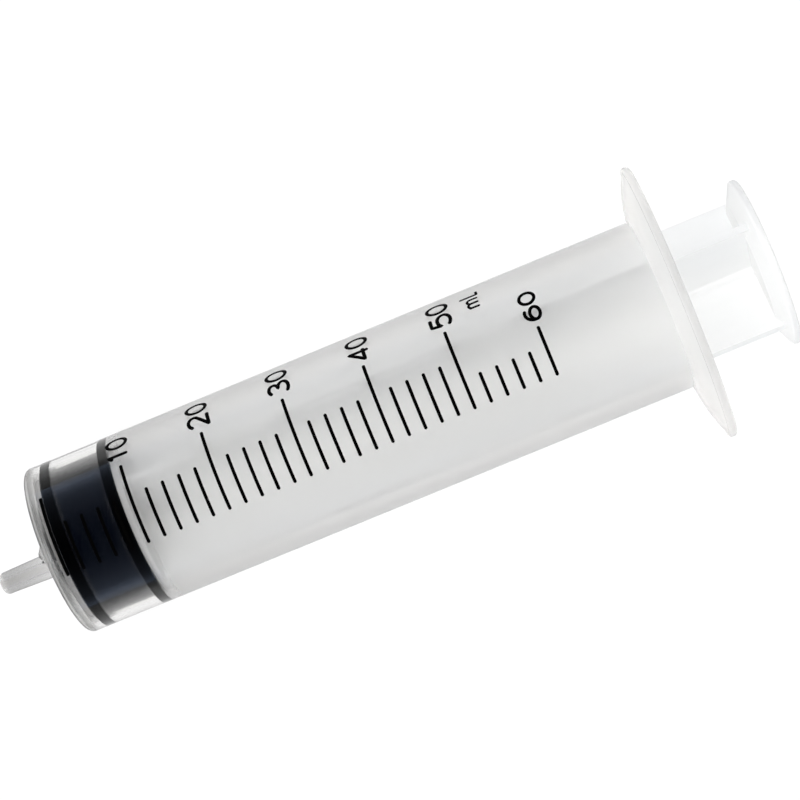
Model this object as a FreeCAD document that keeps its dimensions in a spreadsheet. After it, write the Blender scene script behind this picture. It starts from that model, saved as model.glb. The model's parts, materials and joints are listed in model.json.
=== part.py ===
"""A 60 mL syringe with a slip nozzle: barrel, plunger rod and rubber seal, lying on a table.

All three pieces are drawn in one frame along the barrel's axis. In it X runs from the nozzle's tip
to the thumb rest, and Z points up from the table side of the finger flange.
"""
import FreeCAD, Part
import math
import os

import Sketcher

os.makedirs("parts", exist_ok=True)
doc = FreeCAD.newDocument("Syringe")

# Driving dimensions, in millimetres and degrees
SIZES = {
    # nozzle: a 6 % cone, 3.97 mm across at its tip, beside the barrel's axis
    "nozzle_length": 11.8,
    "nozzle_tip_diameter": 3.97,
    "nozzle_taper": 0.06,
    "nozzle_offset": 1.75,
    "nozzle_round": 1.0,
    "lumen_diameter": 1.8,
    # barrel tube and front wall
    "barrel_diameter": 31.4,
    "wall": 1.25,
    "shoulder_round": 1.0,
    "face_step": 0.3,
    "face_rim": 2.6,
    "front_cone_radius": 7.2,
    "front_cone_height": 3.6,
    "front_cone_end": 1.0,
    "wall_front": 1.9,
    "floor_dish": 0.8,
    # printed scale: the place of its zero, and the plunger's travel up to the 60 mL mark
    "zero_mark": 2.8,
    "full_travel": 91.47,
    # finger flange, its place counted from the full mark
    "flange_long": 51.3,
    "flange_short": 41.0,
    "flange_offset": 0.8,
    "flange_rim": 1.5,
    "flange_swell": 2.3,
    "flange_crown": 1.3,
    "flange_place": 24.0,
    "flange_round": 0.6,
    "rim_land": 0.3,
    "root_margin": 0.35,
    # bead and flare inside the mouth
    "bead_height": 0.35,
    "bead_width": 1.6,
    "bead_place": 2.6,
    "mouth_flare": 0.7,
    # rubber seal
    "seal_play": 0.05,
    "seal_length": 12.9,
    "ridge_width": 2.1,
    "ridge_round": 0.45,
    "waist_depth": 0.55,
    "waist_slope": 0.5,
    "nose_gap": 0.3,
    "nose_flat": 3.0,
    "seal_chamfer": 0.7,
    # snap head of the rod, and the play round it in the seal
    "knob_radius": 6.6,
    "knob_length": 3.2,
    "knob_place": 4.2,
    "knob_lead": 1.0,
    "neck_radius": 4.6,
    "snap_play": 0.15,
    # rod, and its play in the bore
    "disc_play": 0.75,
    "disc_thickness": 1.2,
    "rib_play": 0.85,
    "rib_thickness": 1.5,
    "rib_core_round": 1.2,
    "rod_turn": 30.0,
    # thumb rest
    "thumb_gap": 13.4,
    "thumb_overhang": 1.9,
    "thumb_cone": 1.9,
    "thumb_rim": 1.2,
    "thumb_round": 0.45,
    "thumb_root_inset": 2.0,
    "thumb_lip": 1.6,
    "thumb_dish": 0.6,
    "thumb_ring_pitch": 2.6,
    "thumb_ring_depth": 0.25,
    "thumb_ring_width": 0.9,
}
THUMB_RINGS = 3
CROWN_SHARE = 0.6
MATCH = 0.01

# Places along the axis, from the nozzle's tip, and radii that follow from the sizes
DERIVED = {
    "barrel_radius": "barrel_diameter / 2",
    "bore_diameter": "barrel_diameter - 2 * wall",
    "bore_radius": "bore_diameter / 2",
    "full_volume": "pi * bore_radius ^ 2 * full_travel / 1000",
    "lumen_radius": "lumen_diameter / 2",
    "tip_radius": "nozzle_tip_diameter / 2",
    "face_at": "nozzle_length",
    "inner_face_at": "face_at + face_step",
    "floor_at": "face_at + wall_front",
    "zero_at": "face_at + zero_mark",
    "rim_front_at": "zero_at + full_travel + flange_place",
    "root_at": "rim_front_at - flange_swell",
    "root_radius": "barrel_radius + root_margin",
    "edge_long": "flange_long / 2 - flange_round - rim_land",
    "edge_short": "flange_short / 2 - flange_round - rim_land",
    "barrel_end_at": "rim_front_at + flange_rim",
    "bead_at": "barrel_end_at - bead_place",
    "seal_radius": "bore_radius - seal_play",
    "waist_radius": "seal_radius - waist_depth",
    "seal_rear_at": "zero_at + seal_length",
    "knob_at": "zero_at + knob_place",
    "neck_at": "knob_at + knob_length",
    "disc_radius": "bore_radius - disc_play",
    "rib_radius": "bore_radius - rib_play",
    "disc_at": "seal_rear_at + snap_play",
    "rib_at": "disc_at + disc_thickness",
    "thumb_root_at": "barrel_end_at + thumb_gap",
    "thumb_rim_at": "thumb_root_at + thumb_cone",
    "thumb_end_at": "thumb_rim_at + thumb_rim",
    "thumb_root_radius": "rib_radius - thumb_root_inset",
    "thumb_diameter": "2 * (rib_radius + thumb_overhang)",
    "thumb_radius": "thumb_diameter / 2",
}

sheet = doc.addObject("Spreadsheet::Sheet", "Sizes")
for row, (alias, value) in enumerate(SIZES.items(), start=1):
    sheet.set("A%d" % row, alias)
    sheet.set("B%d" % row, str(value))
    sheet.setAlias("B%d" % row, alias)
for row, (alias, formula) in enumerate(DERIVED.items(), start=len(SIZES) + 1):
    sheet.set("A%d" % row, alias)
    sheet.set("B%d" % row, "=" + formula)
    sheet.setAlias("B%d" % row, alias)
doc.recompute()


def value(alias):
    """Reads one cell of the sheet as a number."""
    return float(getattr(sheet, alias))


def bound(text):
    """Turns the sheet's aliases in a formula into references to the sheet."""
    known = sorted(list(SIZES) + list(DERIVED), key=len, reverse=True)
    words = []
    word = ""
    for letter in text + " ":
        if letter.isalnum() or letter == "_":
            word += letter
        else:
            words.append("Sizes." + word if word in known else word)
            words.append(letter)
            word = ""
    return "".join(words).strip()


def number(text):
    """Works a formula of the sheet's aliases out, for a sketch's first drawing."""
    return float(sheet.evalExpression(bound(text)))


def add_body(label):
    body = doc.addObject("PartDesign::Body", label)
    body.Label = label
    return body


def base_plane(body, role):
    return next(plane for plane in body.Origin.OriginFeatures if plane.Role == role)


def add_sketch(body, name, role, along=None, side=None, across=None):
    """A sketch on one of the body's base planes, shifted along its normal or in its plane."""
    sketch = body.newObject("Sketcher::SketchObject", name)
    sketch.AttachmentSupport = (base_plane(body, role), [""])
    sketch.MapMode = "FlatFace"
    if along is not None:
        sketch.setExpression(".AttachmentOffset.Base.z", bound(along))
    if side is not None:
        sketch.setExpression(".AttachmentOffset.Base.y", bound(side))
    if across is not None:
        sketch.setExpression(".AttachmentOffset.Base.x", bound(across))
    return sketch


def fix_point(sketch, edge, corner, across, up):
    """Ties one end of a line to the sketch's origin by two formulas."""
    for kind, formula in (("DistanceX", across), ("DistanceY", up)):
        if number(formula) == 0:
            axis = -2 if kind == "DistanceX" else -1
            sketch.addConstraint(Sketcher.Constraint("PointOnObject", edge, corner, axis))
            continue
        index = sketch.addConstraint(Sketcher.Constraint(kind, -1, 1, edge, corner, number(formula)))
        sketch.setExpression("Constraints[%d]" % index, bound(formula))


def add_outline(sketch, corners):
    """A closed outline of straight lines through corners given as pairs of formulas."""
    points = [FreeCAD.Vector(number(a), number(b), 0) for a, b in corners]
    count = len(points)
    for index in range(count):
        sketch.addGeometry(Part.LineSegment(points[index], points[(index + 1) % count]), False)
    for index in range(count):
        sketch.addConstraint(Sketcher.Constraint("Coincident", index, 2, (index + 1) % count, 1))
    for index, (across, up) in enumerate(corners):
        fix_point(sketch, index, 1, across, up)


def turned(body, kind, name, corners, side=None):
    """A Revolution or Groove about the X axis, or about a line beside it."""
    sketch = add_sketch(body, name + "Profile", "XY_Plane", side=side)
    add_outline(sketch, corners)
    feature = body.newObject("PartDesign::" + kind, name)
    feature.Profile = sketch
    feature.ReferenceAxis = (sketch, ["H_Axis"])
    feature.Angle = 360
    doc.recompute()
    return feature


def add_circle(sketch, radius):
    ring = Part.Circle(FreeCAD.Vector(0, 0, 0), FreeCAD.Vector(0, 0, 1), number(radius))
    circle = sketch.addGeometry(ring, False)
    sketch.addConstraint(Sketcher.Constraint("Coincident", circle, 3, -1, 1))
    index = sketch.addConstraint(Sketcher.Constraint("Radius", circle, number(radius)))
    sketch.setExpression("Constraints[%d]" % index, bound(radius))


def add_oval(sketch, long_radius, short_radius):
    """An ellipse about the sketch's origin, its long way along the sketch's first axis."""
    ellipse = Part.Ellipse(FreeCAD.Vector(0, 0, 0), number(long_radius), number(short_radius))
    oval = sketch.addGeometry(ellipse, False)
    sketch.exposeInternalGeometry(oval)
    major, minor = oval + 1, oval + 2
    sketch.addConstraint(Sketcher.Constraint("Coincident", oval, 3, -1, 1))
    sketch.addConstraint(Sketcher.Constraint("PointOnObject", major, 1, -1))
    for line, radius in ((major, long_radius), (minor, short_radius)):
        index = sketch.addConstraint(Sketcher.Constraint("Distance", line, 2 * number(radius)))
        sketch.setExpression("Constraints[%d]" % index, bound("2 * (%s)" % radius))


def edges_where(shape, test):
    """Names the edges of a shape that pass a test."""
    return ["Edge%d" % (index + 1) for index, edge in enumerate(shape.Edges) if test(edge)]


def circle_at(edge, x, radius):
    """True for a full circle about an X line, at a given place and radius."""
    curve = edge.Curve
    if not isinstance(curve, Part.Circle) or not edge.isClosed():
        return False
    return abs(curve.Center.x - x) < MATCH and abs(curve.Radius - radius) < MATCH


def rounded(body, name, feature, picks, size):
    """A Fillet on the edges that the test picks from the feature's shape."""
    doc.recompute()
    names = edges_where(feature.Shape, picks)
    if not names:
        raise RuntimeError("no edge to round for " + name)
    fillet = body.newObject("PartDesign::Fillet", name)
    fillet.Base = (feature, names)
    fillet.setExpression("Radius", bound(size))
    doc.recompute()
    return fillet


# Barrel: tube, front wall with its cone, slip nozzle, finger flange
barrel = add_body("barrel")
cone_front = "face_at - front_cone_height"
turned(barrel, "Revolution", "Tube", [
    (cone_front, "0"),
    (cone_front, "front_cone_end"),
    ("inner_face_at", "front_cone_radius"),
    ("inner_face_at", "barrel_radius - face_rim"),
    ("face_at", "barrel_radius - face_rim"),
    ("face_at", "barrel_radius"),
    ("barrel_end_at", "barrel_radius"),
    ("barrel_end_at", "0"),
])
wall_radius_at_cone = "tip_radius + nozzle_length * nozzle_taper / 2"
turned(barrel, "Revolution", "Nozzle", [
    ("0", "0"),
    ("0", "tip_radius"),
    ("nozzle_length", wall_radius_at_cone),
    ("nozzle_length", "0"),
], side="-nozzle_offset")

# The flange's front is a crowned swell, from a ring round the tube to the thin oval rim
root = add_sketch(barrel, "FlangeRoot", "YZ_Plane", along="root_at")
add_circle(root, "root_radius")
aside = "-flange_offset"
crown = add_sketch(barrel, "FlangeCrown", "YZ_Plane", along="rim_front_at - flange_crown",
                   across="%s * %s" % (aside, CROWN_SHARE))
add_oval(crown, "root_radius + %s * (edge_long - root_radius)" % CROWN_SHARE,
         "root_radius + %s * (edge_short - root_radius)" % CROWN_SHARE)
rim_edge = add_sketch(barrel, "FlangeEdge", "YZ_Plane", along="rim_front_at", across=aside)
add_oval(rim_edge, "edge_long", "edge_short")
swell = barrel.newObject("PartDesign::AdditiveLoft", "FlangeSwell")
swell.Profile = root
swell.Sections = [crown, rim_edge]
doc.recompute()
rim_oval = add_sketch(barrel, "FlangeOval", "YZ_Plane", along="rim_front_at", across=aside)
add_oval(rim_oval, "flange_long / 2", "flange_short / 2")
rim = barrel.newObject("PartDesign::Pad", "FlangeRim")
rim.Profile = rim_oval
rim.setExpression("Length", bound("flange_rim"))
doc.recompute()

# The bore, with a dished floor, a holding bead near the mouth and a flared end
bead_from = "bead_at - bead_width / 2"
bead_to = "bead_at + bead_width / 2"
turned(barrel, "Groove", "Bore", [
    ("floor_at - floor_dish", "0"),
    ("floor_at - floor_dish", "nose_flat"),
    ("floor_at", "bore_radius"),
    (bead_from, "bore_radius"),
    ("bead_at - bead_width / 8", "bore_radius - bead_height"),
    ("bead_at + bead_width / 8", "bore_radius - bead_height"),
    (bead_to, "bore_radius"),
    ("barrel_end_at - mouth_flare", "bore_radius"),
    ("barrel_end_at", "bore_radius + mouth_flare"),
    ("barrel_end_at", "0"),
])
lumen = turned(barrel, "Groove", "Lumen", [
    ("0", "0"),
    ("0", "lumen_radius"),
    ("floor_at - floor_dish / 2", "lumen_radius"),
    ("floor_at - floor_dish / 2", "0"),
], side="-nozzle_offset")
shoulder = rounded(
    barrel, "Shoulder", lumen,
    lambda edge: circle_at(edge, value("face_at"), value("barrel_radius")), "shoulder_round")
face_edge = rounded(
    barrel, "FaceEdge", shoulder,
    lambda edge: circle_at(edge, value("face_at"), value("barrel_radius") - value("face_rim")),
    "face_step * 0.8")
tip = rounded(
    barrel, "NozzleTip", face_edge,
    lambda edge: circle_at(edge, 0, value("tip_radius")), "nozzle_round")


def on_rim(edge):
    """True for the two outer edges of the flange's rim."""
    box = edge.BoundBox
    full = abs(box.YLength - value("flange_long")) < MATCH
    return full and box.XLength < MATCH


rounded(barrel, "RimRound", tip, on_rim, "flange_round")

# Rubber seal: two sealing ridges, a waist between them, a nose and a snap socket
seal = add_body("plunger_seal")
nose_at = "floor_at - floor_dish + nose_gap"
turned(seal, "Revolution", "Ridges", [
    (nose_at, "0"),
    (nose_at, "nose_flat"),
    ("zero_at", "seal_radius - ridge_round"),
    ("zero_at + ridge_round", "seal_radius"),
    ("zero_at + ridge_width", "seal_radius"),
    ("zero_at + ridge_width + waist_slope", "waist_radius"),
    ("seal_rear_at - ridge_width - waist_slope", "waist_radius"),
    ("seal_rear_at - ridge_width", "seal_radius"),
    ("seal_rear_at - seal_chamfer", "seal_radius"),
    ("seal_rear_at", "seal_radius - seal_chamfer"),
    ("seal_rear_at", "0"),
])
socket = turned(seal, "Groove", "Socket", [
    ("knob_at - snap_play", "0"),
    ("knob_at - snap_play", "knob_radius + snap_play - knob_lead"),
    ("knob_at - snap_play + knob_lead", "knob_radius + snap_play"),
    ("neck_at + snap_play", "knob_radius + snap_play"),
    ("neck_at + snap_play", "neck_radius + snap_play"),
    ("seal_rear_at", "neck_radius + snap_play"),
    ("seal_rear_at", "0"),
])
rounded(
    seal, "WaistRound", socket,
    lambda edge: circle_at(edge, value("zero_at") + value("ridge_width"), value("seal_radius"))
    or circle_at(edge, value("seal_rear_at") - value("ridge_width"), value("seal_radius")),
    "ridge_round / 2")

# Plunger rod: snap head, stop disc, four ribs and the dished thumb rest
rod = add_body("plunger_rod")
turned(rod, "Revolution", "Head", [
    ("knob_at", "0"),
    ("knob_at", "knob_radius - knob_lead"),
    ("knob_at + knob_lead", "knob_radius"),
    ("neck_at", "knob_radius"),
    ("neck_at", "neck_radius"),
    ("disc_at", "neck_radius"),
    ("disc_at", "disc_radius"),
    ("rib_at", "disc_radius"),
    ("rib_at", "0"),
])
half = "rib_thickness / 2"
reach = "sqrt(rib_radius ^ 2 - rib_thickness ^ 2 / 4)"
cross = add_sketch(rod, "Cross", "YZ_Plane", along="rib_at")
arms = [("1", "0"), ("0", "1"), ("-1", "0"), ("0", "-1")]
outline = []
for index, (across, up) in enumerate(arms):
    next_across, next_up = arms[(index + 1) % len(arms)]
    outline.append(("(%s) * %s + (%s) * %s" % (across, reach, next_across, half),
                    "(%s) * %s + (%s) * %s" % (up, reach, next_up, half)))
    outline.append(("(%s) * %s + (%s) * %s" % (across, half, next_across, half),
                    "(%s) * %s + (%s) * %s" % (up, half, next_up, half)))
    outline.append(("(%s) * %s + (%s) * %s" % (across, half, next_across, reach),
                    "(%s) * %s + (%s) * %s" % (up, half, next_up, reach)))
add_outline(cross, outline)
ribs = rod.newObject("PartDesign::Pad", "Ribs")
ribs.Profile = cross
ribs.setExpression("Length", bound("thumb_rim_at - rib_at + thumb_rim / 2"))
doc.recompute()


def in_core(edge):
    """True for the four long edges where two ribs meet."""
    box = edge.BoundBox
    near = math.hypot(abs(box.Center.y), abs(box.Center.z)) < value("rib_thickness")
    return box.XLength > value("thumb_gap") and near


rounded(rod, "RibCore", ribs, in_core, "rib_core_round")
turned(rod, "Revolution", "ThumbRest", [
    ("thumb_root_at", "0"),
    ("thumb_root_at", "thumb_root_radius"),
    ("thumb_rim_at", "thumb_radius"),
    ("thumb_end_at", "thumb_radius"),
    ("thumb_end_at", "0"),
])
last = turned(rod, "Groove", "ThumbDish", [
    ("thumb_end_at - thumb_dish", "0"),
    ("thumb_end_at - thumb_dish", "thumb_radius - thumb_lip - thumb_dish"),
    ("thumb_end_at", "thumb_radius - thumb_lip"),
    ("thumb_end_at", "0"),
])
for index in range(THUMB_RINGS):
    inner = "thumb_ring_pitch * %d" % (index + 1)
    last = turned(rod, "Groove", "ThumbRing%d" % (index + 1), [
        ("thumb_end_at - thumb_dish - thumb_ring_depth", inner),
        ("thumb_end_at - thumb_dish - thumb_ring_depth", inner + " + thumb_ring_width"),
        ("thumb_end_at - thumb_dish", inner + " + thumb_ring_width"),
        ("thumb_end_at - thumb_dish", inner),
    ])
rounded(
    rod, "ThumbRound", last,
    lambda edge: circle_at(edge, value("thumb_rim_at"), value("thumb_radius"))
    or circle_at(edge, value("thumb_end_at"), value("thumb_radius")),
    "thumb_round")

# At rest the barrel's shoulder and the flange's rim touch the table, so the axis leans a little.
# The shoulder's round and the rim's round are tangent to one line, which becomes level.
doc.recompute()
front_x = value("face_at") + value("shoulder_round")
front_z = value("barrel_radius") - value("shoulder_round")
rear_x = value("rim_front_at") + value("flange_round")
rear_z = value("flange_short") / 2 - value("flange_round")
span = math.hypot(rear_x - front_x, rear_z - front_z)
lean = math.atan2(rear_z - front_z, rear_x - front_x)
lean += math.asin((value("flange_round") - value("shoulder_round")) / span)
tilt = FreeCAD.Rotation(FreeCAD.Vector(0, 1, 0), -math.degrees(lean))
turn = FreeCAD.Rotation(FreeCAD.Vector(1, 0, 0), -value("rod_turn"))
pieces = (barrel, seal, rod)
barrel.Placement = FreeCAD.Placement(FreeCAD.Vector(0, 0, 0), tilt)
seal.Placement = FreeCAD.Placement(FreeCAD.Vector(0, 0, 0), tilt)
rod.Placement = FreeCAD.Placement(FreeCAD.Vector(0, 0, 0), tilt.multiply(turn))
doc.recompute()
whole = Part.makeCompound([piece.Shape for piece in pieces]).optimalBoundingBox()
shift = FreeCAD.Vector(-whole.Center.x, -whole.Center.y, -whole.ZMin)
for piece in pieces:
    piece.Placement = FreeCAD.Placement(shift, piece.Placement.Rotation)
doc.recompute()

for thing in doc.Objects:
    if "Invalid" in thing.State or "Error" in thing.State:
        raise RuntimeError("%s failed to build" % thing.Name)
for piece in pieces:
    shape = piece.Shape
    if shape.isNull() or not shape.isValid() or len(shape.Solids) != 1:
        raise RuntimeError("%s is not one valid solid" % piece.Label)

print("lean %.3f degrees, shift %s" % (math.degrees(lean), tuple(round(v, 3) for v in shift)))
print("the scale's %.2f mm hold %.2f mL" % (value("full_travel"), value("full_volume")))
for piece in pieces:
    shape = piece.Shape
    print("%-12s %9.1f mm3, %d faces" % (piece.Label, shape.Volume, len(shape.Faces)))
    shape.exportStep("parts/%s.step" % piece.Label)
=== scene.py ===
# %% [markdown]
# # A 60 mL syringe on a white table
#
# The solids of this syringe come ready made: a clear barrel, a clear plunger rod and a rubber
# seal. This lesson dresses them. It gives the plastic and the rubber their finish, prints the
# volume scale round the barrel, and sets the light and the camera. Lengths are in metres, as
# Blender wants them, and the small ones are written as so many millimetres.

import json
import math

import bpy
from mathutils import Matrix, Vector


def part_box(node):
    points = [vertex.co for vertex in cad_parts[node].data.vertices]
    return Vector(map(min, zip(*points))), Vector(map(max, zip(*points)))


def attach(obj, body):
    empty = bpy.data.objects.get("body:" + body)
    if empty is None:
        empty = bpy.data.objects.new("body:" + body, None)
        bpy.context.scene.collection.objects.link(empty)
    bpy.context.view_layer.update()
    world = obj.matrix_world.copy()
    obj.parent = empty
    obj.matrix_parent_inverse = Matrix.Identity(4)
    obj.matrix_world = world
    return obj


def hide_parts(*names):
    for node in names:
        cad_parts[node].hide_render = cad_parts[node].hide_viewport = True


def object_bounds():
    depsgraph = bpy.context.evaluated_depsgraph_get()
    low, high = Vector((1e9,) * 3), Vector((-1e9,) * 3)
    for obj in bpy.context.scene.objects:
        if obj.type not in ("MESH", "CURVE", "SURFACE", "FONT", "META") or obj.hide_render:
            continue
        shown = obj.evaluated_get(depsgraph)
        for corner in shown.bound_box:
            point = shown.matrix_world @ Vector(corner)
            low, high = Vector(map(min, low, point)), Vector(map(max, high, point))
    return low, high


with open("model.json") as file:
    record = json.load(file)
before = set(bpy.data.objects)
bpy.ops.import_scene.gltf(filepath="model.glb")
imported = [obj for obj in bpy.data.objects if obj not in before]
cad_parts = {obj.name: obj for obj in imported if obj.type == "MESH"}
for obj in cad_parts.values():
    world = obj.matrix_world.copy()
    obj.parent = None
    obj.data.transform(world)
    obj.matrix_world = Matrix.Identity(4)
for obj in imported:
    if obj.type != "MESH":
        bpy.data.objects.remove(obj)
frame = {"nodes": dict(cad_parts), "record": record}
cad_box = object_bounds()
scene = bpy.context.scene
MM = 0.001
for name in frame["nodes"]:
    low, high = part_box(name)
    print(name, "measures", [round(side / MM, 1) for side in high - low], "mm")

# %% [markdown]
# ## The barrel's own axes
#
# The syringe lies on its shoulder and on the rim of its flange, so its axis leans a little against
# the table. Everything that is printed on the barrel or turned about its axis is easier to draw in
# the barrel's own axes: x from the nozzle's tip to the thumb rest, z away from the table. The
# record's mounts give a point on that axis, its direction and the barrel's radius.

# %% Find the barrel's axes
mounts = {mount["name"]: mount for mount in frame["record"]["mounts"]}
along = -Vector(mounts["barrel_outside"]["axis"]).normalized()
sideways = Vector((0.0, 1.0, 0.0))
upwards = along.cross(sideways).normalized()
axis_point = Vector(mounts["barrel_outside"]["pos_m"])
tip_point = Vector(mounts["nozzle_taper"]["pos_m"])
origin = axis_point + along * (tip_point - axis_point).dot(along)
TO_WORLD = Matrix((along, sideways, upwards)).transposed().to_4x4()
TO_WORLD.translation = origin
BARREL_RADIUS = mounts["barrel_outside"]["dims"]["r_mm"] * MM
print("the axis leans", round(math.degrees(math.asin(along.z)), 2), "degrees")

# %% [markdown]
# ## Places along the barrel
#
# The scale follows from the bore: a slice of the bore that holds 10 mL is 10 000 cubic millimetres
# over the bore's area. The 0 mL line lies over the front edge of the seal at rest. The bore, the
# place of that line and the seal's length are the solids' own sizes.

# %% Work out the scale
BORE_RADIUS = 14.45 * MM
ZERO_AT = 14.6 * MM
SEAL_LENGTH = 12.9 * MM
MILLILITRE = 1e-6 / (math.pi * BORE_RADIUS ** 2)
FULL_VOLUME = 60
print("10 mL is", round(10 * MILLILITRE / MM, 2), "mm of the barrel")


def at_volume(volume):
    """The place along the barrel of a volume in millilitres."""
    return ZERO_AT + volume * MILLILITRE


def finish_mesh(name, mesh, body, material):
    """Puts a mesh drawn in the barrel's axes into the scene, on its body and with its finish."""
    mesh.transform(TO_WORLD)
    piece = bpy.data.objects.new(name, mesh)
    scene.collection.objects.link(piece)
    mesh.materials.clear()
    mesh.materials.append(material)
    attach(piece, body)
    print(name, "has", len(mesh.polygons), "faces")
    return piece


# %% [markdown]
# ## Shader helpers
#
# A material is a small graph of nodes. A few helpers keep the graphs short to write: they add a
# node with its plain values, a Math node between sockets and numbers, the stops of a colour ramp,
# an empty material and an empty group. Patterns read Object coordinates, so that they stay on the
# piece as it moves.

# %% Add nodes
def add_node(tree, kind, **settings):
    """Adds a node, sets its properties, and sets its inputs where a name is an input's."""
    node = tree.nodes.new(kind)
    for name, value in settings.items():
        label = name.replace("_", " ")
        if label in node.inputs:
            node.inputs[label].default_value = value
        else:
            setattr(node, name, value)
    return node


def math_node(tree, operation, first, second=None):
    """A Math node whose inputs are sockets or plain numbers."""
    node = add_node(tree, "ShaderNodeMath", operation=operation)
    for index, given in enumerate((first, second)):
        if given is None:
            continue
        if isinstance(given, (int, float)):
            node.inputs[index].default_value = given
        else:
            tree.links.new(given, node.inputs[index])
    return node.outputs[0]


def set_stops(ramp, stops):
    """Gives a Color Ramp node its stops, each a position and a colour, in rising order."""
    elements = ramp.color_ramp.elements
    for index, (position, colour) in enumerate(stops):
        stop = elements[index] if index < len(elements) else elements.new(position)
        stop.position = position
        stop.color = (*colour, 1.0)


def tone_node(tree, mask, dark, light, dark_at=0.0, light_at=1.0):
    """A colour that goes from dark to light as the mask goes from one value to another."""
    tone = add_node(tree, "ShaderNodeValToRGB")
    set_stops(tone, ((dark_at, dark), (light_at, light)))
    tree.links.new(mask, tone.inputs["Fac"])
    return tone.outputs["Color"]


def new_material(name):
    """A material with an empty graph and its output node."""
    material = bpy.data.materials.new(name)
    material.use_nodes = True
    material.node_tree.nodes.clear()
    return material, material.node_tree, add_node(material.node_tree, "ShaderNodeOutputMaterial")


def shader_group(name, inputs, outputs):
    """A shader node group of plain numbers, with its input node and its output node."""
    group = bpy.data.node_groups.new(name, "ShaderNodeTree")
    for label, start in inputs:
        socket = group.interface.new_socket(label, in_out="INPUT", socket_type="NodeSocketFloat")
        socket.default_value = start
    for label in outputs:
        group.interface.new_socket(label, in_out="OUTPUT", socket_type="NodeSocketFloat")
    return group, add_node(group, "NodeGroupInput"), add_node(group, "NodeGroupOutput")


# %% [markdown]
# ### Cloudy flow marks
#
# Moulded polypropylene is never perfectly even: it is a little cloudier in some places, and its
# skin has long faint waves along the flow of the melt. One node group makes both. Noise that is
# stretched along the barrel gives a mask for the tone and a height for the bump.

# %% Group for the flow marks
# Waves per metre along and across the flow, the clouds' own scale, and how strong the mask is
WAVES_ALONG = 60.0
WAVES_ACROSS = 400.0
CLOUD_SCALE = 90.0
MASK_STRENGTH = 2.0


def flow_marks_group():
    group, inside, outside = shader_group(
        "Flow marks",
        (("Length", WAVES_ALONG), ("Width", WAVES_ACROSS), ("Softness", MASK_STRENGTH)),
        ("Mask", "Height"))
    link = group.links.new
    place = add_node(group, "ShaderNodeTexCoord")
    scale = add_node(group, "ShaderNodeCombineXYZ")
    link(inside.outputs["Length"], scale.inputs["X"])
    link(inside.outputs["Width"], scale.inputs["Y"])
    link(inside.outputs["Width"], scale.inputs["Z"])
    stretched = add_node(group, "ShaderNodeVectorMath", operation="MULTIPLY")
    link(place.outputs["Object"], stretched.inputs[0])
    link(scale.outputs["Vector"], stretched.inputs[1])
    waves = add_node(group, "ShaderNodeTexNoise", Scale=1.0, Detail=3.0, Roughness=0.5)
    link(stretched.outputs["Vector"], waves.inputs["Vector"])
    clouds = add_node(group, "ShaderNodeTexNoise", Scale=CLOUD_SCALE, Detail=2.0, Roughness=0.45)
    link(place.outputs["Object"], clouds.inputs["Vector"])
    both = math_node(group, "MULTIPLY", waves.outputs["Fac"], clouds.outputs["Fac"])
    link(math_node(group, "MULTIPLY", both, inside.outputs["Softness"]), outside.inputs["Mask"])
    link(waves.outputs["Fac"], outside.inputs["Height"])
    return group


FLOW_MARKS = flow_marks_group()


# %% [markdown]
# ### Fine grain
#
# Rubber and dried ink have a much finer grain that runs the same way everywhere. A second group
# gives it, so that both rubbers and the ink share one noise and differ only in its scale.

# %% Group for fine grain
RUBBER_GRAIN = 1400.0
INK_GRAIN = 2500.0


def fine_grain_group():
    group, inside, outside = shader_group("Fine grain", (("Scale", RUBBER_GRAIN),), ("Mask",))
    place = add_node(group, "ShaderNodeTexCoord")
    grain = add_node(group, "ShaderNodeTexNoise", Detail=4.0)
    group.links.new(place.outputs["Object"], grain.inputs["Vector"])
    group.links.new(inside.outputs["Scale"], grain.inputs["Scale"])
    group.links.new(grain.outputs["Fac"], outside.inputs["Mask"])
    return group


FINE_GRAIN = fine_grain_group()


def grain_mask(tree, scale):
    """The mask of the fine grain at a scale."""
    grain = add_node(tree, "ShaderNodeGroup")
    grain.node_tree = FINE_GRAIN
    grain.inputs["Scale"].default_value = scale
    return grain.outputs["Mask"]


# %% [markdown]
# ## Milky clear plastic
#
# Barrel and rod are polypropylene, which is clear but milky. A Principled shader with all its
# weight on transmission bends light as the barrel's wall does. The rod looks nearly white, so most
# of its weight stays diffuse. How dull a skin is depends on the polish of its mould: nozzle and
# barrel are clear as far as the seal, the wall is a little dull from there on, and the front wall
# and above all the flange are frosted. These places were matched to the photograph, where
# the plunger is in. With the plunger out, the dull wall makes the seal behind it look grey.
#
# Lamps could not reach through clear plastic in a reasonable number of samples, so for shadow rays
# alone a Transparent shader stands in.

# %% Dullness along the barrel
def frame_x(place):
    """The frame's x of a place along the barrel."""
    return (TO_WORLD @ Vector((place, 0.0, 0.0))).x


# Each stretch: where its change starts and ends, roughness before and after, how it joins the rest
DULL_STRETCHES = (
    (12.1 * MM, 13.6 * MM, 0.3, 0.0, "MAXIMUM"),
    (8.2 * MM, 9.4 * MM, -0.15, 0.0, "ADD"),
    (25.5 * MM, 30.0 * MM, 0.0, 0.218, "ADD"),
    (126.8 * MM, 127.8 * MM, 0.0, 0.85, "MAXIMUM"),
)


def dull_along(tree, roughness):
    """Adds the barrel's dull and frosted stretches to a roughness."""
    place = add_node(tree, "ShaderNodeTexCoord")
    parts = add_node(tree, "ShaderNodeSeparateXYZ")
    tree.links.new(place.outputs["Object"], parts.inputs["Vector"])
    for start, end, before, after, join in DULL_STRETCHES:
        stretch = add_node(tree, "ShaderNodeMapRange", To_Min=before, To_Max=after,
                           From_Min=frame_x(start), From_Max=frame_x(end))
        tree.links.new(parts.outputs["X"], stretch.inputs["Value"])
        roughness = math_node(tree, join, roughness, stretch.outputs["Result"])
    return roughness


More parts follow.
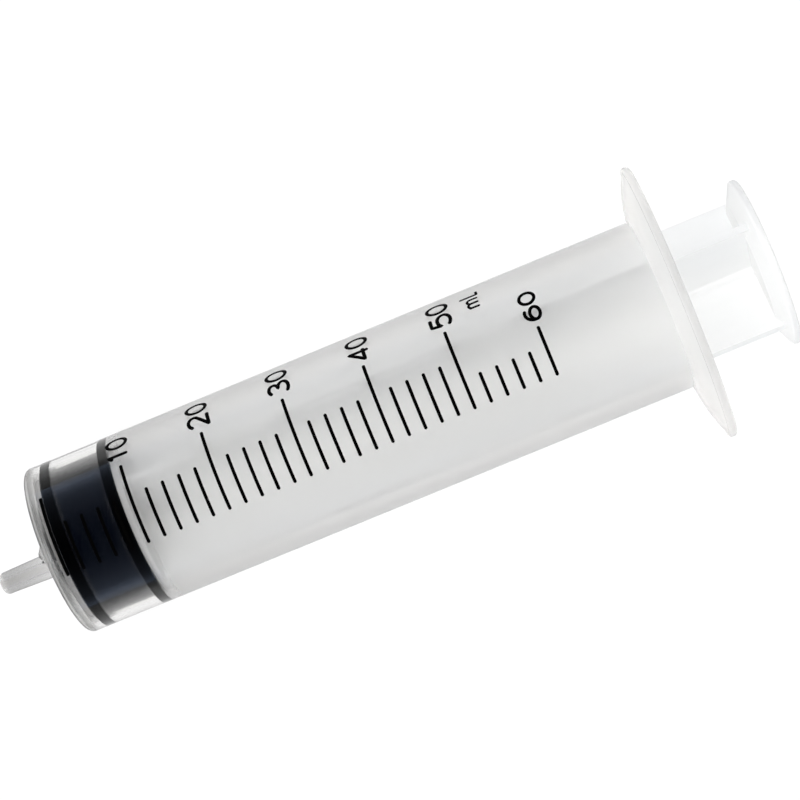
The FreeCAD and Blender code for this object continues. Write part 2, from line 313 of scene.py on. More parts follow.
# %% Materials for the clear pieces
# The mask's values at which the plastic is thinnest and thickest in tone
THIN_AT = 0.3
THICK_AT = 0.7


def milky_plastic(name, thin_tone, thick_tone, transmission, smooth, rough, shade,
                  dulled=False, depth=None):
    """Clear plastic; shade colours its shadow, and depth is its body's colour and density."""
    material, tree, output = new_material(name)
    marks = add_node(tree, "ShaderNodeGroup")
    marks.node_tree = FLOW_MARKS
    roughness = add_node(tree, "ShaderNodeMapRange", To_Min=smooth, To_Max=rough)
    tree.links.new(marks.outputs["Mask"], roughness.inputs["Value"])
    rough_output = roughness.outputs["Result"]
    if dulled:
        rough_output = dull_along(tree, rough_output)
    bump = add_node(tree, "ShaderNodeBump", Strength=0.04, Distance=0.1 * MM)
    tree.links.new(marks.outputs["Height"], bump.inputs["Height"])
    plastic = add_node(tree, "ShaderNodeBsdfPrincipled", IOR=1.49)
    plastic.inputs["Transmission Weight"].default_value = transmission
    tone = tone_node(tree, marks.outputs["Mask"], thin_tone, thick_tone, THIN_AT, THICK_AT)
    tree.links.new(tone, plastic.inputs["Base Color"])
    tree.links.new(rough_output, plastic.inputs["Roughness"])
    tree.links.new(bump.outputs["Normal"], plastic.inputs["Normal"])
    clear = add_node(tree, "ShaderNodeBsdfTransparent", Color=(*shade, 1.0))
    path = add_node(tree, "ShaderNodeLightPath")
    mix = add_node(tree, "ShaderNodeMixShader")
    tree.links.new(path.outputs["Is Shadow Ray"], mix.inputs[0])
    tree.links.new(plastic.outputs["BSDF"], mix.inputs[1])
    tree.links.new(clear.outputs["BSDF"], mix.inputs[2])
    tree.links.new(mix.outputs["Shader"], output.inputs["Surface"])
    if depth is not None:
        colour, density = depth
        wall = add_node(tree, "ShaderNodeVolumeAbsorption", Color=(*colour, 1.0), Density=density)
        tree.links.new(wall.outputs["Volume"], output.inputs["Volume"])
    return material


barrel_plastic = milky_plastic(
    "Clear barrel plastic", thin_tone=(0.99, 0.985, 0.975), thick_tone=(0.995, 0.99, 0.985),
    transmission=1.0, smooth=0.06, rough=0.08, shade=(1.0, 1.0, 1.0), dulled=True,
    depth=((0.9, 0.9, 0.87), 10.0))
rod_plastic = milky_plastic(
    "Milky rod plastic", thin_tone=(0.905, 0.908, 0.904), thick_tone=(0.92, 0.923, 0.919),
    transmission=0.3, smooth=0.35, rough=0.5, shade=(0.96, 0.96, 0.96))
frame["nodes"]["barrel"].material_slots[0].material = barrel_plastic
frame["nodes"]["plunger_rod"].material_slots[0].material = rod_plastic


# %% [markdown]
# ## Black rubber
#
# The seal is moulded rubber, wiped with a little silicone oil: nearly black, faintly blue where it
# is lit, and satin rather than glossy. The fine grain breaks its gloss up. Where the rubber is
# pressed to the wall there is no air between them, so it has no gloss at all and is a second
# material.

# %% Materials for the seal
def black_rubber(name, dark, light, gloss, smooth, rough):
    material, tree, output = new_material(name)
    mask = grain_mask(tree, RUBBER_GRAIN)
    roughness = add_node(tree, "ShaderNodeMapRange", To_Min=smooth, To_Max=rough)
    tree.links.new(mask, roughness.inputs["Value"])
    bump = add_node(tree, "ShaderNodeBump", Strength=0.1, Distance=0.03 * MM)
    tree.links.new(mask, bump.inputs["Height"])
    rubber = add_node(tree, "ShaderNodeBsdfPrincipled", IOR=1.5)
    rubber.inputs["Specular IOR Level"].default_value = gloss
    tree.links.new(tone_node(tree, mask, dark, light), rubber.inputs["Base Color"])
    tree.links.new(roughness.outputs["Result"], rubber.inputs["Roughness"])
    tree.links.new(bump.outputs["Normal"], rubber.inputs["Normal"])
    tree.links.new(rubber.outputs["BSDF"], output.inputs["Surface"])
    return material


oiled_rubber = black_rubber(
    "Oiled black rubber", dark=(0.0006, 0.0012, 0.003), light=(0.0014, 0.0024, 0.006),
    gloss=0.3, smooth=0.2, rough=0.3)
pressed_rubber = black_rubber(
    "Rubber pressed to the wall", dark=(0.0006, 0.0006, 0.0008), light=(0.0012, 0.0012, 0.0014),
    gloss=0.0, smooth=0.5, rough=0.6)


# %% [markdown]
# ## The rubber seal
#
# The real seal is a little wider than the bore and is squeezed into it, so that its two ridges
# press flat against the wall. Where rubber touches the wall no light turns back, and the ridges
# look black right out to the barrel's edge. The solid of the seal keeps clear of the bore, so a
# dressed seal takes its place: a profile that is turned about the axis, with rounded corners,
# ridges that just reach into the wall, and a small lip behind the rear ridge. A turned mesh of
# many steps is smoother here than a Screw modifier, because its corners are rounded first.

# %% Round the corners of a profile
# An arc takes less than half of each side, so that two arcs never meet
LONGEST_REACH = 0.49
TURN_STEPS = 160


def rounded_profile(corners, steps=5):
    """Points along a profile whose corners, given as (x, r, round), are replaced by arcs."""
    points = []
    for index, (x, r, size) in enumerate(corners):
        here = Vector((x, r))
        if size == 0 or index in (0, len(corners) - 1):
            points.append(here)
            continue
        before = Vector(corners[index - 1][:2]) - here
        after = Vector(corners[index + 1][:2]) - here
        half_turn = before.angle(after) / 2
        reach = min(size / math.tan(half_turn),
                    LONGEST_REACH * before.length, LONGEST_REACH * after.length)
        start = here + before.normalized() * reach
        end = here + after.normalized() * reach
        for step in range(steps + 1):
            share = step / steps
            points.append(start.lerp(here, share).lerp(here.lerp(end, share), share))
    return points


def turned(name, corners, steps=TURN_STEPS):
    """A closed mesh of a profile turned about the x axis; it starts and ends on the axis."""
    profile = rounded_profile(corners)
    rings = profile[1:-1]
    vertices = [(profile[0].x, 0.0, 0.0), (profile[-1].x, 0.0, 0.0)]
    for point in rings:
        for step in range(steps):
            angle = 2 * math.pi * step / steps
            vertices.append((point.x, point.y * math.sin(angle), point.y * math.cos(angle)))
    faces = []
    for step in range(steps):
        following = (step + 1) % steps
        faces.append((0, 2 + step, 2 + following))
        last = 2 + (len(rings) - 1) * steps
        faces.append((1, last + following, last + step))
        for ring in range(len(rings) - 1):
            near = 2 + ring * steps
            far = near + steps
            faces.append((near + step, far + step, far + following, near + following))
    mesh = bpy.data.meshes.new(name)
    mesh.from_pydata(vertices, [], faces)
    mesh.validate()
    mesh.shade_smooth()
    return mesh


# %% [markdown]
# ### Its profile
#
# The places are measured from the nozzle's tip. The front ridge starts at the 0 mL line, the waist
# lies between the ridges, and the rear ridge ends in the lip. Inside is the socket for the rod's
# snap head, which is the solid's own. Faces close to the wall get the rubber without gloss.

# %% Turn the dressed seal
RIDGE_RADIUS = BORE_RADIUS + 0.02 * MM
FRONT_RIDGE = (ZERO_AT, ZERO_AT + 2.2 * MM)
REAR_RIDGE = (ZERO_AT + SEAL_LENGTH - 1.6 * MM, ZERO_AT + SEAL_LENGTH + 0.3 * MM)
LIP_INSIDE = 13.9 * MM
WAIST_RADIUS = 13.85 * MM
WAIST_SLOPE = 0.5 * MM
NOSE_AT = 13.2 * MM
NOSE_FLAT = 3.0 * MM
SOCKET_FROM = 18.65 * MM
SOCKET_LEAD = 1.0 * MM
SOCKET_TO = 22.15 * MM
SOCKET_RADIUS = 6.75 * MM
SOCKET_NECK = 4.75 * MM
SHARP_FROM = math.radians(40)
PRESSED_DEPTH = 0.12 * MM
seal_end = ZERO_AT + SEAL_LENGTH
soft = 0.35 * MM
seal_profile = [
    (NOSE_AT, 0.0, 0.0),
    (NOSE_AT, NOSE_FLAT, soft),
    (FRONT_RIDGE[0], RIDGE_RADIUS - soft, soft),
    (FRONT_RIDGE[0] + soft, RIDGE_RADIUS, soft),
    (FRONT_RIDGE[1], RIDGE_RADIUS, soft),
    (FRONT_RIDGE[1] + WAIST_SLOPE, WAIST_RADIUS, soft),
    (REAR_RIDGE[0] - WAIST_SLOPE, WAIST_RADIUS, soft),
    (REAR_RIDGE[0], RIDGE_RADIUS, soft),
    (REAR_RIDGE[1], RIDGE_RADIUS, soft),
    (REAR_RIDGE[1], LIP_INSIDE, 0.0),
    (seal_end, LIP_INSIDE, 0.0),
    (seal_end, SOCKET_NECK, soft),
    (SOCKET_TO, SOCKET_NECK, 0.0),
    (SOCKET_TO, SOCKET_RADIUS, 0.0),
    (SOCKET_FROM + SOCKET_LEAD, SOCKET_RADIUS, 0.0),
    (SOCKET_FROM, SOCKET_RADIUS - SOCKET_LEAD, 0.0),
    (SOCKET_FROM, 0.0, 0.0),
]
seal_mesh = turned("rubber_seal", seal_profile)
seal_mesh.set_sharp_from_angle(angle=SHARP_FROM)
rubber_seal = finish_mesh("rubber_seal", seal_mesh, "seal", oiled_rubber)
seal_mesh.materials.append(pressed_rubber)
from_world = TO_WORLD.inverted()
for face in seal_mesh.polygons:
    middle = from_world @ face.center
    if math.hypot(middle.y, middle.z) > RIDGE_RADIUS - PRESSED_DEPTH:
        face.material_index = 1
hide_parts("plunger_seal")


# %% [markdown]
# ## Printed ink
#
# The scale is printed on the barrel in near-black ink with blunt, round-ended strokes. Every
# stroke is a line that is drawn flat first, as if the barrel's skin were unrolled: x along the
# barrel and y round it, from the top line towards +Y. One Geometry Nodes group turns such lines
# into a film of ink and rolls it onto the barrel.

# %% Material for the ink
def printing_ink():
    material, tree, output = new_material("Printing ink")
    tone = tone_node(tree, grain_mask(tree, INK_GRAIN),
                     (0.0002, 0.0002, 0.0002), (0.0012, 0.0011, 0.0011))
    ink = add_node(tree, "ShaderNodeBsdfPrincipled", Roughness=0.45, IOR=1.5)
    ink.inputs["Specular IOR Level"].default_value = 0.01
    tree.links.new(tone, ink.inputs["Base Color"])
    tree.links.new(ink.outputs["BSDF"], output.inputs["Surface"])
    return material


ink_material = printing_ink()


# %% Group that rolls ink lines onto the barrel
STROKE = 0.6 * MM
FILM = 0.03 * MM
POINT_GAP = 0.12 * MM
NARROWEST_END = 0.02
INK_INPUTS = [("Stroke", "NodeSocketFloat", STROKE), ("Film", "NodeSocketFloat", FILM),
              ("Barrel Radius", "NodeSocketFloat", BARREL_RADIUS)]


def geometry_group(name, inputs):
    """A geometry node group with named inputs, a Geometry input and a Geometry output."""
    group = bpy.data.node_groups.new(name, "GeometryNodeTree")
    group.interface.new_socket("Geometry", in_out="OUTPUT", socket_type="NodeSocketGeometry")
    group.interface.new_socket("Geometry", in_out="INPUT", socket_type="NodeSocketGeometry")
    for label, kind, start in inputs:
        socket = group.interface.new_socket(label, in_out="INPUT", socket_type=kind)
        if start is not None:
            socket.default_value = start
    return group, add_node(group, "NodeGroupInput"), add_node(group, "NodeGroupOutput")


def ink_film_group():
    """Turns flat curves into ribbons of ink with round ends, and rolls them onto the barrel."""
    group, inside, outside = geometry_group(
        "Ink film", INK_INPUTS + [("Step", "NodeSocketFloat", POINT_GAP)])
    link = group.links.new
    finer = add_node(group, "GeometryNodeResampleCurve", mode="LENGTH")
    link(inside.outputs["Geometry"], finer.inputs["Curve"])
    link(inside.outputs["Step"], finer.inputs["Length"])

    # Near the ends of an open stroke the width follows a half circle
    spot = add_node(group, "GeometryNodeSplineParameter")
    size = add_node(group, "GeometryNodeSplineLength")
    closed = add_node(group, "GeometryNodeInputSplineCyclic")
    half = math_node(group, "MULTIPLY", inside.outputs["Stroke"], 0.5)
    left = math_node(group, "SUBTRACT", size.outputs["Length"], spot.outputs["Length"])
    nearest = math_node(group, "MINIMUM", spot.outputs["Length"], left)
    share = math_node(group, "MINIMUM", math_node(group, "DIVIDE", nearest, half), 1.0)
    gap = math_node(group, "SUBTRACT", 1.0, share)
    drop = math_node(group, "SUBTRACT", 1.0, math_node(group, "MULTIPLY", gap, gap))
    blunt = math_node(group, "SQRT", math_node(group, "MAXIMUM", drop, NARROWEST_END))
    radius = math_node(group, "MAXIMUM", blunt, closed.outputs[0])

    flat = add_node(group, "GeometryNodeSetCurveNormal", mode="Z_UP")
    link(finer.outputs["Curve"], flat.inputs["Curve"])
    section = add_node(group, "GeometryNodeCurvePrimitiveQuadrilateral")
    link(inside.outputs["Stroke"], section.inputs["Width"])
    link(inside.outputs["Film"], section.inputs["Height"])
    ribbon = add_node(group, "GeometryNodeCurveToMesh", Fill_Caps=True)
    link(flat.outputs["Curve"], ribbon.inputs["Curve"])
    link(section.outputs["Curve"], ribbon.inputs["Profile Curve"])
    link(radius, ribbon.inputs["Scale"])

    # Roll the flat film up: y becomes an angle about the barrel's axis
    here = add_node(group, "GeometryNodeInputPosition")
    parts = add_node(group, "ShaderNodeSeparateXYZ")
    link(here.outputs["Position"], parts.inputs["Vector"])
    angle = math_node(group, "DIVIDE", parts.outputs["Y"], inside.outputs["Barrel Radius"])
    height = math_node(group, "ADD", parts.outputs["Z"], inside.outputs["Barrel Radius"])
    across = math_node(group, "MULTIPLY", math_node(group, "SINE", angle), height)
    above = math_node(group, "MULTIPLY", math_node(group, "COSINE", angle), height)
    rolled = add_node(group, "ShaderNodeCombineXYZ")
    link(parts.outputs["X"], rolled.inputs["X"])
    link(across, rolled.inputs["Y"])
    link(above, rolled.inputs["Z"])
    roll = add_node(group, "GeometryNodeSetPosition")
    link(ribbon.outputs["Mesh"], roll.inputs["Geometry"])
    link(rolled.outputs["Vector"], roll.inputs["Position"])
    link(roll.outputs["Geometry"], outside.inputs["Geometry"])
    return group


INK_FILM = ink_film_group()


def finish_ink(group, lines, inside, outside):
    """Ends a tree: its lines become films of ink, real and with their material."""
    link = group.links.new
    film = add_node(group, "GeometryNodeGroup")
    film.node_tree = INK_FILM
    link(lines, film.inputs["Geometry"])
    for label, *_ in INK_INPUTS:
        link(inside.outputs[label], film.inputs[label])
    plain = add_node(group, "GeometryNodeRealizeInstances")
    link(film.outputs["Geometry"], plain.inputs["Geometry"])
    inked = add_node(group, "GeometryNodeSetMaterial")
    link(plain.outputs["Geometry"], inked.inputs["Geometry"])
    link(inside.outputs["Ink"], inked.inputs["Material"])
    link(inked.outputs["Geometry"], outside.inputs["Geometry"])


def use_tree(name, mesh, group, values):
    """Runs a geometry node group on a mesh with the given input values, to a plain mesh."""
    holder = bpy.data.objects.new(name + "_draft", mesh)
    scene.collection.objects.link(holder)
    modifier = holder.modifiers.new("Tree", "NODES")
    modifier.node_group = group
    for item in group.interface.items_tree:
        if item.item_type == "SOCKET" and item.in_out == "INPUT" and item.name in values:
            modifier[item.identifier] = values[item.name]
    evaluated = holder.evaluated_get(bpy.context.evaluated_depsgraph_get())
    made = bpy.data.meshes.new_from_object(evaluated)
    made.name = name
    bpy.data.objects.remove(holder)
    return made


# %% [markdown]
# ## Scale marks
#
# There is a mark every 2 mL. Every fifth one is long and carries a number, and past 50 mL the
# marks are shorter. They repeat, so a tree makes them: a row of points along the barrel, with a
# straight line instanced on each one. The inputs say where the row starts, how far apart the
# marks are, how many there are, and where they begin and end round the barrel.

# %% Tree for a row of marks
SKIP_NONE = 1000


def scale_marks_tree():
    group, inside, outside = geometry_group("Scale marks", INK_INPUTS + [
        ("First", "NodeSocketFloat", 0.0), ("Spacing", "NodeSocketFloat", 0.01),
        ("Marks", "NodeSocketInt", 2), ("Skip Every", "NodeSocketInt", SKIP_NONE),
        ("From", "NodeSocketFloat", 0.0), ("To", "NodeSocketFloat", 0.01),
        ("Ink", "NodeSocketMaterial", None)])
    link = group.links.new
    start = add_node(group, "ShaderNodeCombineXYZ")
    link(inside.outputs["First"], start.inputs["X"])
    offset = add_node(group, "ShaderNodeCombineXYZ")
    link(inside.outputs["Spacing"], offset.inputs["X"])
    row = add_node(group, "GeometryNodeMeshLine", mode="OFFSET")
    link(inside.outputs["Marks"], row.inputs["Count"])
    link(start.outputs["Vector"], row.inputs["Start Location"])
    link(offset.outputs["Vector"], row.inputs["Offset"])

    # Where a numbered mark falls, the short mark is left out
    number = add_node(group, "GeometryNodeInputIndex")
    counted = math_node(group, "ADD", number.outputs["Index"], 1.0)
    rest = math_node(group, "MODULO", counted, inside.outputs["Skip Every"])
    numbered = math_node(group, "LESS_THAN", rest, 0.5)
    kept = add_node(group, "GeometryNodeDeleteGeometry", domain="POINT")
    link(row.outputs["Mesh"], kept.inputs["Geometry"])
    link(numbered, kept.inputs["Selection"])

    lower = add_node(group, "ShaderNodeCombineXYZ")
    link(inside.outputs["From"], lower.inputs["Y"])
    upper = add_node(group, "ShaderNodeCombineXYZ")
    link(inside.outputs["To"], upper.inputs["Y"])
    line = add_node(group, "GeometryNodeCurvePrimitiveLine", mode="POINTS")
    link(lower.outputs["Vector"], line.inputs["Start"])
    link(upper.outputs["Vector"], line.inputs["End"])
    marks = add_node(group, "GeometryNodeInstanceOnPoints")
    link(kept.outputs["Geometry"], marks.inputs["Points"])
    link(line.outputs["Curve"], marks.inputs["Instance"])
    real = add_node(group, "GeometryNodeRealizeInstances")
    link(marks.outputs["Instances"], real.inputs["Geometry"])
    finish_ink(group, real.outputs["Geometry"], inside, outside)
    return group


SCALE_MARKS = scale_marks_tree()

# %% [markdown]
# ### The four rows
#
# All marks begin on the same line round the barrel and differ in where they end. The row between
# the numbers leaves every fifth mark out, and the mark at 60 mL stands alone.

# %% Print the marks
ROUND_START = math.radians(-16.8) * BARREL_RADIUS
LONG_END = math.radians(39.0) * BARREL_RADIUS
SHORT_END = math.radians(17.2) * BARREL_RADIUS
REAR_END = math.radians(4.2) * BARREL_RADIUS

# Each row: its first volume, the step between marks, how many, which are left out, and their end
MARK_ROWS = {
    "marks_numbered": (0, 10, 6, SKIP_NONE, LONG_END),
    "marks_between": (2, 2, 24, 5, SHORT_END),
    "marks_rear": (52, 2, 4, SKIP_NONE, REAR_END),
    "mark_full": (FULL_VOLUME, 2, 1, SKIP_NONE, SHORT_END),
}
for name, (first, step, count, skipped, end) in MARK_ROWS.items():
    row_mesh = use_tree(name, bpy.data.meshes.new(name + "_start"), SCALE_MARKS, {
        "First": at_volume(first), "Spacing": step * MILLILITRE, "Marks": count,
        "Skip Every": skipped, "From": ROUND_START, "To": end,
        "Stroke": STROKE, "Film": FILM, "Barrel Radius": BARREL_RADIUS, "Ink": ink_material})
    finish_mesh(name, row_mesh, "barrel", ink_material)

# %% [markdown]
# ## Numbers and unit
#
# The numbers are drawn with strokes of one width, like the marks. Each figure is written in a
# box one wide and one high, out of straight runs and parts of ellipses, and the box is then
# stretched to the real figure's size. A font would bring its own stroke widths, so the figures
# are drawn and given to the same ink group.

# %% Draw the figures
BOW_STEP = 12
SAME_POINT = 1e-6


def bow(x, y, wide, high, start, end):
    """Points on part of an ellipse, from one angle to another, in degrees."""
    steps = max(4, round(abs(end - start) / BOW_STEP))
    angles = [math.radians(start + (end - start) * step / steps) for step in range(steps + 1)]
    return [(x + wide * math.cos(angle), y + high * math.sin(angle)) for angle in angles]


FIGURES = {
    "0": [bow(0.5, 0.5, 0.5, 0.5, 0, 360)],
    "1": [[(0.1, 0.8), (0.38, 1.0), (0.38, 0.0)]],
    "2": [bow(0.48, 0.70, 0.46, 0.30, 165, -25) + [(0.0, 0.0), (1.0, 0.0)]],
    "3": [bow(0.48, 0.76, 0.42, 0.24, 155, -90) + bow(0.48, 0.26, 0.52, 0.26, 90, -155)],
    "4": [[(0.74, 0.0), (0.74, 1.0), (0.0, 0.28), (1.0, 0.28)]],
    "5": [[(0.9, 1.0), (0.16, 1.0), (0.08, 0.5)] + bow(0.47, 0.33, 0.53, 0.33, 132, -152)],
    "6": [bow(0.5, 0.33, 0.5, 0.33, 0, 360), bow(0.58, 0.42, 0.58, 0.58, 190, 55)],
    "m": [[(0.0, 0.0), (0.0, 1.0)], bow(0.25, 0.68, 0.25, 0.32, 180, 0) + [(0.5, 0.0)],
          bow(0.75, 0.68, 0.25, 0.32, 180, 0) + [(1.0, 0.0)]],
    "L": [[(0.0, 1.0), (0.0, 0.0), (1.0, 0.0)]],
}


def written(name, figures, base_x):
    """A mesh of lines for a word; each figure is (sign, start round the barrel, width, height)."""
    vertices = []
    edges = []
    for sign, start, width, height in figures:
        for stroke in FIGURES[sign]:
            closed = math.dist(stroke[0], stroke[-1]) < SAME_POINT
            points = stroke[:-1] if closed else stroke
            first = len(vertices)
            for across, up in points:
                vertices.append((base_x - up * height, start + across * width, 0.0))
            edges += [(first + step, first + step + 1) for step in range(len(points) - 1)]
            if closed:
                edges.append((len(vertices) - 1, first))
    mesh = bpy.data.meshes.new(name + "_lines")
    mesh.from_pydata(vertices, edges, [])
    return mesh


# %% Tree for written figures
def written_ink_tree():
    group, inside, outside = geometry_group(
        "Written ink", INK_INPUTS + [("Ink", "NodeSocketMaterial", None)])
    curves = add_node(group, "GeometryNodeMeshToCurve")
    group.links.new(inside.outputs["Geometry"], curves.inputs["Mesh"])
    finish_ink(group, curves.outputs["Curve"], inside, outside)
    return group


WRITTEN_INK = written_ink_tree()

# %% [markdown]
# ### Their sizes on the barrel
#
# The numbers from 10 to 50 stand at the end of their long marks. The 60 is smaller and stands
# closer in, because its mark is short, and the unit stands below the 50. The figure 1 is narrow,
# so the 0 after it stands closer to it.

# %% Print the numbers
NUMBER_STROKE = 0.68 * MM
FIGURE_WIDE = 2.95 * MM
FIGURE_HIGH = 3.6 * MM
FIGURE_GAP = 1.0 * MM
ONE_CLOSER = 0.7 * MM
NUMBER_START = math.radians(43.6) * BARREL_RADIUS


def print_word(name, figures, base_x, stroke):
    """Prints a word on the barrel; its figures stand on base_x."""
    mesh = use_tree(name, written(name, figures, base_x), WRITTEN_INK, {
        "Stroke": stroke, "Film": FILM, "Barrel Radius": BARREL_RADIUS, "Ink": ink_material})
    finish_mesh(name, mesh, "barrel", ink_material)


for volume in range(10, FULL_VOLUME, 10):
    second = NUMBER_START + FIGURE_WIDE + FIGURE_GAP
    if volume == 10:
        second -= ONE_CLOSER
    word = [(str(volume)[0], NUMBER_START, FIGURE_WIDE, FIGURE_HIGH),
            ("0", second, FIGURE_WIDE, FIGURE_HIGH)]
    print_word("number_%d" % volume, word, at_volume(volume) + FIGURE_HIGH / 2, NUMBER_STROKE)

FULL_WIDE = 2.45 * MM
FULL_HIGH = 2.7 * MM
FULL_GAP = 0.9 * MM
FULL_STROKE = 0.6 * MM
full_start = math.radians(21.9) * BARREL_RADIUS
print_word("number_60", [("6", full_start, FULL_WIDE, FULL_HIGH),
                         ("0", full_start + FULL_WIDE + FULL_GAP, FULL_WIDE, FULL_HIGH)],
           at_volume(FULL_VOLUME) + FULL_HIGH / 2, FULL_STROKE)

M_SIZE = (2.45 * MM, 2.05 * MM)
L_SIZE = (1.25 * MM, 3.25 * MM)
L_AFTER = 3.55 * MM
UNIT_BELOW = 7.5 * MM
UNIT_STROKE = 0.5 * MM
unit_start = math.radians(49.2) * BARREL_RADIUS
print_word("unit_ml", [("m", unit_start, *M_SIZE), ("L", unit_start + L_AFTER, *L_SIZE)],
           at_volume(50) + UNIT_BELOW, UNIT_STROKE)

# %% [markdown]
# ## Table and backdrop
#
# The syringe lies on a plain white table that runs out to a white backdrop. To the camera, to
# reflections and to what is seen through the plastic the table is white by its own light, with a
# small share of lit surface, which keeps the soft shadow. For all other rays it is an ordinary
# pale surface. Clear plastic takes its tone from what lies behind it, and the front wall and the
# nozzle look through to the far end of the table, so in the plastic alone that end carries painted
# shade, a warm grey, and the table's sides carry painted shade too.

# %% Make the table
CAMERA_WHITE = 1.04
PAPER_WHITE = 1.05
OWN_LIGHT = 0.86
SURFACE_WHITE = 0.86

# Painted shade on the table, seen only in the plastic: its tone at an x in metres, and how warm
# its greys are
PAPER_PAINTED_SHADE = ((-0.085, 0.36), (-0.073, 0.42), (-0.063, 0.86),
               (-0.04, 0.92), (0.0, 0.96), (0.05, 1.0))
WARMTH = 0.1

# The ramp runs from 0 to 1, so it starts half a metre before the middle
RAMP_SHIFT = 0.5

# The painted shade also dims it to the sides, between these distances from the middle line
SIDE_FROM = 0.15
SIDE_TO = 0.6
SIDE_PAINTED_SHADE = 0.6
TABLE_HALF = 2.0


def white_table():
    material, tree, output = new_material("White table")
    link = tree.links.new
    lit = add_node(tree, "ShaderNodeBsdfDiffuse",
                   Color=(SURFACE_WHITE, SURFACE_WHITE, SURFACE_WHITE, 1.0))
    to_camera = add_node(tree, "ShaderNodeEmission", Color=(1.0, 1.0, 1.0, 1.0),
                         Strength=CAMERA_WHITE)
    to_plastic = add_node(tree, "ShaderNodeEmission", Strength=PAPER_WHITE)
    place = add_node(tree, "ShaderNodeTexCoord")
    parts = add_node(tree, "ShaderNodeSeparateXYZ")
    link(place.outputs["Object"], parts.inputs["Vector"])
    # Painted shade, seen only in the plastic: the table's glow falls off towards the far end and
    # to the sides
    painted_falloff = add_node(tree, "ShaderNodeValToRGB")
    set_stops(painted_falloff, [(RAMP_SHIFT + x, (tone, tone, tone * (1.0 - WARMTH + WARMTH * tone)))
                        for x, tone in PAPER_PAINTED_SHADE])
    link(math_node(tree, "ADD", parts.outputs["X"], RAMP_SHIFT), painted_falloff.inputs["Fac"])
    edge = add_node(tree, "ShaderNodeMapRange", From_Min=SIDE_FROM, From_Max=SIDE_TO,
                    To_Min=1.0, To_Max=SIDE_PAINTED_SHADE)
    link(math_node(tree, "ABSOLUTE", parts.outputs["Y"]), edge.inputs["Value"])
    paper = math_node(tree, "MULTIPLY", painted_falloff.outputs["Color"], edge.outputs["Result"])
    link(paper, to_plastic.inputs["Color"])
    path = add_node(tree, "ShaderNodeLightPath")
    seen = math_node(tree, "MAXIMUM", path.outputs["Is Glossy Ray"],
                     path.outputs["Is Transmission Ray"])
    seen = math_node(tree, "MAXIMUM", seen, path.outputs["Is Camera Ray"])
    bright = add_node(tree, "ShaderNodeMixShader")
    link(path.outputs["Is Camera Ray"], bright.inputs[0])
    link(to_plastic.outputs["Emission"], bright.inputs[1])
    link(to_camera.outputs["Emission"], bright.inputs[2])
    mix = add_node(tree, "ShaderNodeMixShader")
    link(math_node(tree, "MULTIPLY", seen, OWN_LIGHT), mix.inputs[0])
    link(lit.outputs["BSDF"], mix.inputs[1])
    link(bright.outputs["Shader"], mix.inputs[2])
    link(mix.outputs["Shader"], output.inputs["Surface"])
    return material


corners = [(x * TABLE_HALF, y * TABLE_HALF, 0) for x, y in ((-1, -1), (1, -1), (1, 1), (-1, 1))]
table_mesh = bpy.data.meshes.new("table")
table_mesh.from_pydata(corners, [], [(0, 1, 2, 3)])
table_mesh.materials.append(white_table())
table = bpy.data.objects.new("table", table_mesh)
scene.collection.objects.link(table)


# %% [markdown]
# ## Light
#
# The world is plain white to the camera. In the plastic and the rubber it shows as a room: pale
# low down and at both ends, which lights the flange and the edges of the barrel, and dark and
# bluish overhead, which keeps the black seal black behind its clear wall. Two soft lamps give the
# diffuse rod its light. They stay out of reflections, as lamps behind a large diffuser do.

# %% Set the world
# The room's tone from the horizon up to straight overhead, and its tint
ROOM_TONES = ((0.0, 0.8), (0.12, 0.42), (0.3, 0.17), (0.6, 0.075), (0.85, 0.02), (1.0, 0.0))
ROOM_TINT = (0.8, 0.95, 1.25)

# Its pale ends, between these shares of the way from the middle to the far end
END_FROM = 0.32
END_TO = 0.6
END_TONE = 1.0


def studio_world():
    world = bpy.data.worlds.new("Studio")
    scene.world = world
    world.use_nodes = True
    tree = world.node_tree
    tree.nodes.clear()
    link = tree.links.new
    output = add_node(tree, "ShaderNodeOutputWorld")
    place = add_node(tree, "ShaderNodeTexCoord")
    parts = add_node(tree, "ShaderNodeSeparateXYZ")
    link(place.outputs["Generated"], parts.inputs["Vector"])
    height = add_node(tree, "ShaderNodeValToRGB")
    set_stops(height, [(position, [tint * tone for tint in ROOM_TINT])
                       for position, tone in ROOM_TONES])
    link(parts.outputs["Z"], height.inputs["Fac"])
    ends = add_node(tree, "ShaderNodeMapRange", From_Min=END_FROM, From_Max=END_TO,
                    interpolation_type="SMOOTHSTEP")
    link(math_node(tree, "ABSOLUTE", parts.outputs["X"]), ends.inputs["Value"])
    tone = add_node(tree, "ShaderNodeMix", data_type="RGBA")
    link(ends.outputs["Result"], tone.inputs["Factor"])
    link(height.outputs["Color"], tone.inputs["A"])
    tone.inputs["B"].default_value = (END_TONE, END_TONE, END_TONE, 1.0)
    room = add_node(tree, "ShaderNodeBackground", Strength=1.0)
    link(tone.outputs["Result"], room.inputs["Color"])
    white = add_node(tree, "ShaderNodeBackground", Color=(1.0, 1.0, 1.0, 1.0), Strength=1.0)
    path = add_node(tree, "ShaderNodeLightPath")
    mix = add_node(tree, "ShaderNodeMixShader")
    link(path.outputs["Is Camera Ray"], mix.inputs[0])
    link(room.outputs["Background"], mix.inputs[1])
    link(white.outputs["Background"], mix.inputs[2])
    link(mix.outputs["Shader"], output.inputs["Surface"])


studio_world()


# %% [markdown]
# ### Lamps
#
# One lamp hangs over the syringe and one stands to the side, both facing its middle. Sizes are in
# metres and power in watts.

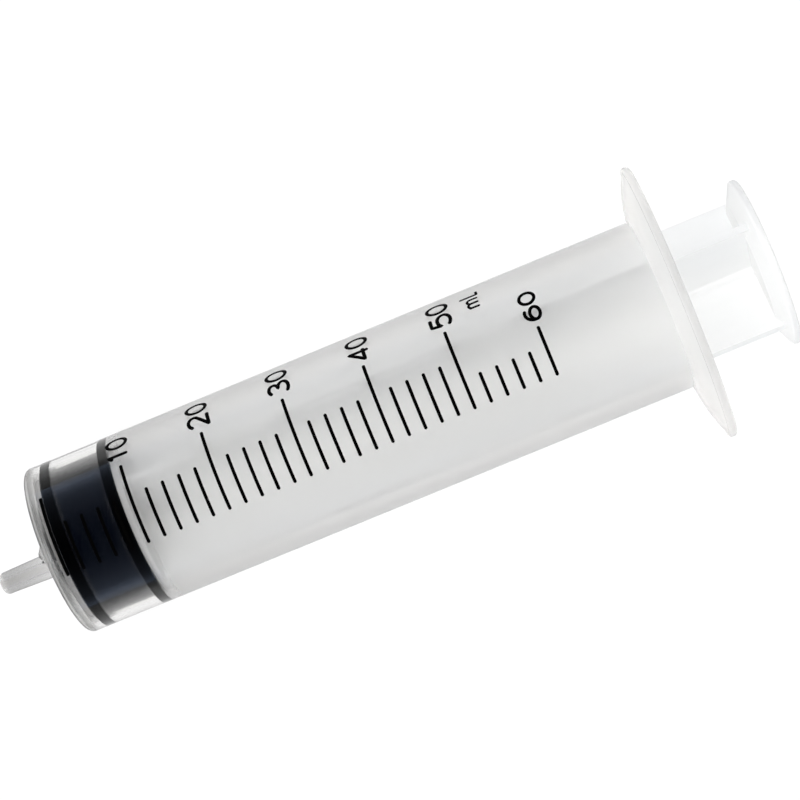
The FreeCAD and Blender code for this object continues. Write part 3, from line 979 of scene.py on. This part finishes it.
# %% Set the lamps
def softbox(name, place, target, wide, deep, power):
    """A rectangular lamp at a place, turned to face a target."""
    data = bpy.data.lights.new(name, "AREA")
    data.shape = "RECTANGLE"
    data.size = wide
    data.size_y = deep
    data.energy = power
    lamp = bpy.data.objects.new(name, data)
    scene.collection.objects.link(lamp)
    lamp.location = place
    lamp.rotation_euler = (target - Vector(place)).to_track_quat("-Z", "Y").to_euler()
    lamp.visible_camera = False
    lamp.visible_glossy = False
    lamp.visible_transmission = False


centre = (cad_box[0] + cad_box[1]) / 2
softbox("overhead", place=(-0.02, 0.1, 0.6), target=centre, wide=0.6, deep=0.5, power=2.75)
softbox("side", place=(-0.45, -0.4, 0.5), target=centre, wide=0.6, deep=0.4, power=2.4)

# %% [markdown]
# ## Camera
#
# The photograph was taken from straight above, about half a metre up, with the picture turned so
# that the syringe climbs to the right. The lens is about 117 mm on a 36 mm wide frame. The camera
# was fitted in the barrel's own axes to the marks and the silhouette in the photograph.

# %% Place the camera
FOCAL_PIXELS = 2590.5
PICTURE_WIDE = 800
SENSOR = 36.0
NEAREST = 0.01
BOUNCES = 24
CAMERA_AT = TO_WORLD @ (Vector((101.56, 1.87, 460.06)) * MM)
AXES = TO_WORLD.to_3x3()
CAMERA_RIGHT = AXES @ Vector((0.923911, -0.379826, -0.046050))
CAMERA_UP = AXES @ Vector((0.379356, 0.925058, -0.018908))
camera_data = bpy.data.cameras.new("Camera")
camera_data.sensor_width = SENSOR
camera_data.lens = FOCAL_PIXELS / PICTURE_WIDE * SENSOR
camera_data.clip_start = NEAREST
camera = bpy.data.objects.new("Camera", camera_data)
scene.collection.objects.link(camera)
back = CAMERA_RIGHT.cross(CAMERA_UP).normalized()
turn = Matrix((CAMERA_RIGHT, back.cross(CAMERA_RIGHT).normalized(), back)).transposed()
camera.location = CAMERA_AT
camera.rotation_euler = turn.to_euler()
scene.camera = camera
scene.view_settings.view_transform = "Standard"
scene.cycles.max_bounces = BOUNCES
scene.cycles.transmission_bounces = BOUNCES
print("the camera is", round(CAMERA_AT.z, 3), "m up")
print("its lens is", round(camera_data.lens, 1), "mm")
